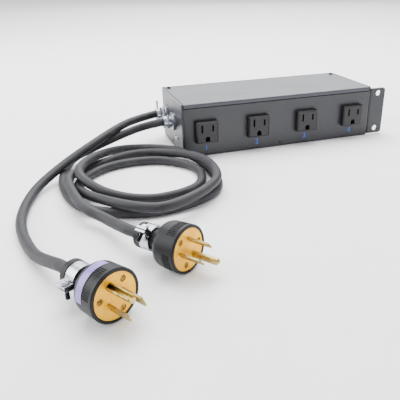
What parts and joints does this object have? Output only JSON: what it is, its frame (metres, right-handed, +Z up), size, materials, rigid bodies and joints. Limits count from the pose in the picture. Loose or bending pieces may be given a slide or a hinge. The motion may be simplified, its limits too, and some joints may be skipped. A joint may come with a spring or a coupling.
{
  "type": "rack static transfer switch",
  "caption": "Static transfer switch in a shallow folded steel case, with grounded outlets along the front, a rack ear at one end and clamped supply cords that end in plugs.",
  "frame": {"origin": "on the surface it stands on, under the middle of the case with its ear, outlets and cord connectors; the free cords and plugs are left out of that box", "axes": "+X along the front towards the rack ear, +Y from the front to the back, +Z up"},
  "size_m": [0.4355, 0.3768, 0.0626],
  "materials": {
    "case_paint": "satin black powder coat",
    "lid_paint": "satin black powder coat",
    "ear_paint": "satin black powder coat",
    "black_steel": "black oxide",
    "zinc": "bright zinc plate",
    "zinc_cast": "die-cast zinc",
    "outlet_plastic": "moulded",
    "contact_brass": "stamped",
    "lamp": "clear",
    "cord_jacket": "matt",
    "shell_plastic": "moulded",
    "disc_gold": "gold card and brass",
    "blade_brass": "stamped",
    "screw_brass": "plated",
    "board_green": "glass-fibre board",
    "core_steel": "laminated and varnished",
    "relay_plastic": "moulded",
    "terminal_plastic": "moulded",
    "aluminium": "extruded",
    "thyristor_plastic": "moulded"
  },
  "bodies": {
    "root": {"chassis": "case_paint", "lid": "lid_paint", "lid_screws": "black_steel", "rack_ear": "ear_paint", "ear_rivets": "black_steel", "bracket_screw": "zinc", "indicator": "lamp", "outlet_1": "outlet_plastic", "outlet_2": "outlet_plastic", "outlet_3": "outlet_plastic", "outlet_4": "outlet_plastic", "contacts_1": "contact_brass", "contacts_2": "contact_brass", "contacts_3": "contact_brass", "contacts_4": "contact_brass", "connector_rear": "zinc_cast", "connector_front": "zinc_cast", "saddle_rear": "zinc_cast", "saddle_front": "zinc_cast", "clamp_screws_rear": "zinc", "clamp_screws_front": "zinc", "locknut_rear": "zinc", "locknut_front": "zinc", "cord_a": "cord_jacket", "cord_b": "cord_jacket", "shell_a": "shell_plastic", "shell_b": "shell_plastic", "face_a": "disc_gold", "face_b": "disc_gold", "face_screws_a": "screw_brass", "face_screws_b": "screw_brass", "line_blade_a": "blade_brass", "line_blade_b": "blade_brass", "neutral_blade_a": "blade_brass", "neutral_blade_b": "blade_brass", "ground_pin_a": "blade_brass", "ground_pin_b": "blade_brass", "strap_a": "zinc", "strap_b": "zinc", "cradle_a": "zinc", "cradle_b": "zinc", "strap_screws_a": "zinc", "strap_screws_b": "zinc", "standoffs": "zinc", "board": "board_green", "transformer": "core_steel", "relays": "relay_plastic", "terminals": "terminal_plastic", "heat_sink": "aluminium", "thyristors": "thyristor_plastic"}
  },
  "joints": []
}
